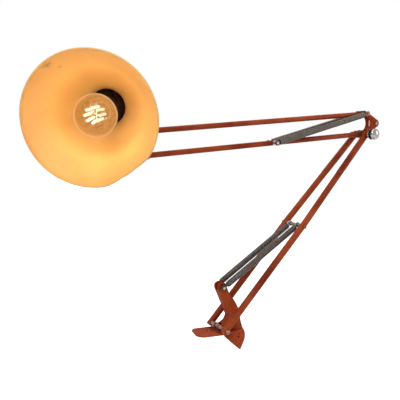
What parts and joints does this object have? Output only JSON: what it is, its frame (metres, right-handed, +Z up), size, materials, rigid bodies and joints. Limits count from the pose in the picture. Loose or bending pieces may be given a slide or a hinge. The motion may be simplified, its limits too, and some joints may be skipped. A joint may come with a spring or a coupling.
{
  "type": "architect lamp",
  "caption": "Spring balanced two arm architect lamp with a round bell shade, a bare bulb and a screw-down desk edge bracket.",
  "frame": {"origin": "centre of the screw hole on the underside of the desk bracket's tongue, in the plane of the desk top", "axes": "+Z up; +X from the screw hole to the spindle; +Y completes a right-handed frame"},
  "size_m": [0.6903, 0.2802, 0.5031],
  "materials": {
    "paint": "satin, worn",
    "steel": "turned",
    "dark_steel": "oiled wire",
    "chrome": "polished",
    "brass": "worn",
    "black_plastic": "glossy bakelite",
    "clear_glass": "clear",
    "filament": "glowing sticks"
  },
  "bodies": {
    "base": {"desk_bracket": "paint", "spindle_set_screw": "dark_steel"},
    "turret": {"thrust_washer": "steel", "swivel_spindle": "steel", "swivel_bracket": "paint", "lower_anchor_pin": "steel", "lower_pin_clips": "dark_steel", "base_axle": "steel", "outer_spacers": "brass", "middle_spacer": "brass", "base_axle_nut": "brass"},
    "lower_arm": {"lower_tube_near": "paint", "lower_tube_far": "paint", "crossbar": "steel"},
    "lower_eyes": {"lower_spring_eyes": "steel"},
    "lower_springs": {"lower_spring_near": "dark_steel", "lower_spring_far": "dark_steel"},
    "elbow": {"elbow_axle": "steel", "elbow_washers": "steel", "knob_washer": "dark_steel", "elbow_bracket": "paint", "tie_bolt": "steel", "tie_spacer": "steel", "top_pin": "steel", "top_pin_clips": "dark_steel"},
    "knob": {"elbow_knob": "chrome"},
    "upper_arm": {"lower_rod": "paint", "rod_spring_pin": "steel", "rod_pin_clips": "dark_steel"},
    "upper_link": {"upper_rod": "paint"},
    "upper_eyes": {"upper_spring_eyes": "steel"},
    "upper_springs": {"upper_spring_near": "dark_steel", "upper_spring_far": "dark_steel"},
    "head": {"head_bracket": "paint", "head_pins": "steel"},
    "knuckle": {"head_knuckle": "steel", "head_swivel_nut": "steel"},
    "shade_head": {"tilt_bolt": "steel", "tilt_nut": "steel", "shade_lug": "paint", "lug_rivets": "steel", "socket_cover": "paint", "shade": "paint", "lamp_socket": "black_plastic", "socket_ring": "black_plastic", "socket_shell": "brass", "socket_contact": "brass", "bulb_glass": "clear_glass", "bulb_cap": "steel", "bulb_insulator": "black_plastic", "bulb_contact": "brass", "bulb_stem": "clear_glass", "stem_wires": "steel", "filaments": "filament"}
  },
  "joints": [
    {"name": "base_swivel", "type": "hinge", "parent": "base", "child": "turret", "pos_m": [0.049, 0, 0.0049], "axis": [0, 0, 1], "range_deg": [-175, 175]},
    {"name": "lower_arm_tilt", "type": "hinge", "parent": "turret", "child": "lower_arm", "pos_m": [0.01493, -0.0054, 0.0119], "axis": [-0.1564, 0.9877, 0], "range_deg": [-24, 18]},
    {"name": "lower_eye_turn", "type": "hinge", "parent": "lower_arm", "child": "lower_eyes", "pos_m": [0.17674, 0.02023, 0.18454], "axis": [-0.1564, 0.9877, 0], "range_deg": [-6.18, 4.64]},
    {"name": "lower_spring_stretch", "type": "slide", "parent": "lower_eyes", "child": "lower_springs", "axis": [-0.8382, -0.1328, -0.529], "range_m": [-0.0232, 0.0175], "deforming": ["lower_spring_near", "lower_spring_far"]},
    {"name": "elbow_tilt", "type": "hinge", "parent": "lower_arm", "child": "elbow", "pos_m": [0.33481, 0.04527, 0.35319], "axis": [-0.1564, 0.9877, 0], "range_deg": [-10, 30]},
    {"name": "knob_turn", "type": "hinge", "parent": "elbow", "child": "knob", "pos_m": [0.33481, 0.04527, 0.35319], "axis": [0.1564, -0.9877, 0], "continuous": true},
    {"name": "upper_arm_tilt", "type": "hinge", "parent": "elbow", "child": "upper_arm", "pos_m": [0.33481, 0.04527, 0.35319], "axis": [-0.1564, 0.9877, 0], "range_deg": [-16, 25]},
    {"name": "upper_link_tilt", "type": "hinge", "parent": "elbow", "child": "upper_link", "pos_m": [0.33925, 0.04597, 0.39269], "axis": [-0.1564, 0.9877, 0], "range_deg": [-16.5, 25.5]},
    {"name": "upper_eye_turn", "type": "hinge", "parent": "upper_arm", "child": "upper_eyes", "pos_m": [0.12595, 0.01219, 0.33803], "axis": [-0.1564, 0.9877, 0], "range_deg": [-1.14, 0.74]},
    {"name": "upper_spring_stretch", "type": "slide", "parent": "upper_eyes", "child": "upper_springs", "axis": [0.9575, 0.1517, 0.2454], "range_m": [-0.0171, 0.0111], "deforming": ["upper_spring_near", "upper_spring_far"]},
    {"name": "head_level", "type": "hinge", "parent": "upper_arm", "child": "head", "pos_m": [-0.13019, -0.02838, 0.31944], "axis": [-0.1564, 0.9877, 0], "range_deg": [-25.5, 16.5]},
    {"name": "head_swivel", "type": "hinge", "parent": "head", "child": "knuckle", "pos_m": [-0.17266, -0.03511, 0.34944], "axis": [0, 0, 1], "range_deg": [-150, 40]},
    {"name": "shade_tilt", "type": "hinge", "parent": "knuckle", "child": "shade_head", "pos_m": [-0.1779, -0.04809, 0.36294], "axis": [0.9272, -0.3746, 0], "range_deg": [-35, 50]}
  ],
  "couplings": [
    {"joint": "lower_eye_turn", "follows": "lower_arm_tilt", "ratio": 0.2568},
    {"joint": "lower_spring_stretch", "follows": "lower_arm_tilt", "m_per_rad": 0.05422},
    {"joint": "upper_link_tilt", "follows": "upper_arm_tilt", "ratio": 1},
    {"joint": "upper_eye_turn", "follows": "upper_arm_tilt", "ratio": -0.0451},
    {"joint": "upper_spring_stretch", "follows": "upper_arm_tilt", "m_per_rad": -0.03805},
    {"joint": "head_level", "follows": "upper_arm_tilt", "ratio": -1}
  ]
}
